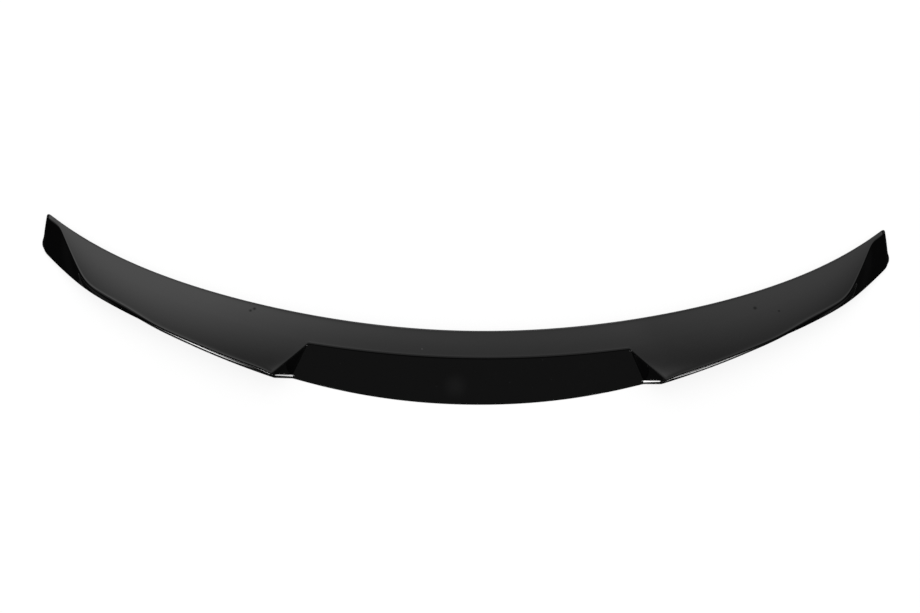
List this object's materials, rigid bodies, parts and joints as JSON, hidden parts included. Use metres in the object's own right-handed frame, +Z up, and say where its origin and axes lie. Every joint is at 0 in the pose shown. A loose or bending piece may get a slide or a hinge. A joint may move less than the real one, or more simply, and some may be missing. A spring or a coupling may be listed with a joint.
{
  "type": "car rear spoiler",
  "caption": "Long, shallow arc of a lip spoiler for a boot lid, with raised side lips, a recessed centre with slanted ends and an open underside with bonding lands.",
  "frame": {"origin": "on the plane of the rear foot line, under the middle of the outline", "axes": "+X along the width across the car, +Y towards the front of the car, +Z up from the boot lid"},
  "size_m": [1.2, 0.2778, 0.0395],
  "materials": {
    "gloss_black": "polished gloss black"
  },
  "bodies": {
    "root": {"spoiler_shell": "gloss_black"}
  },
  "joints": []
}
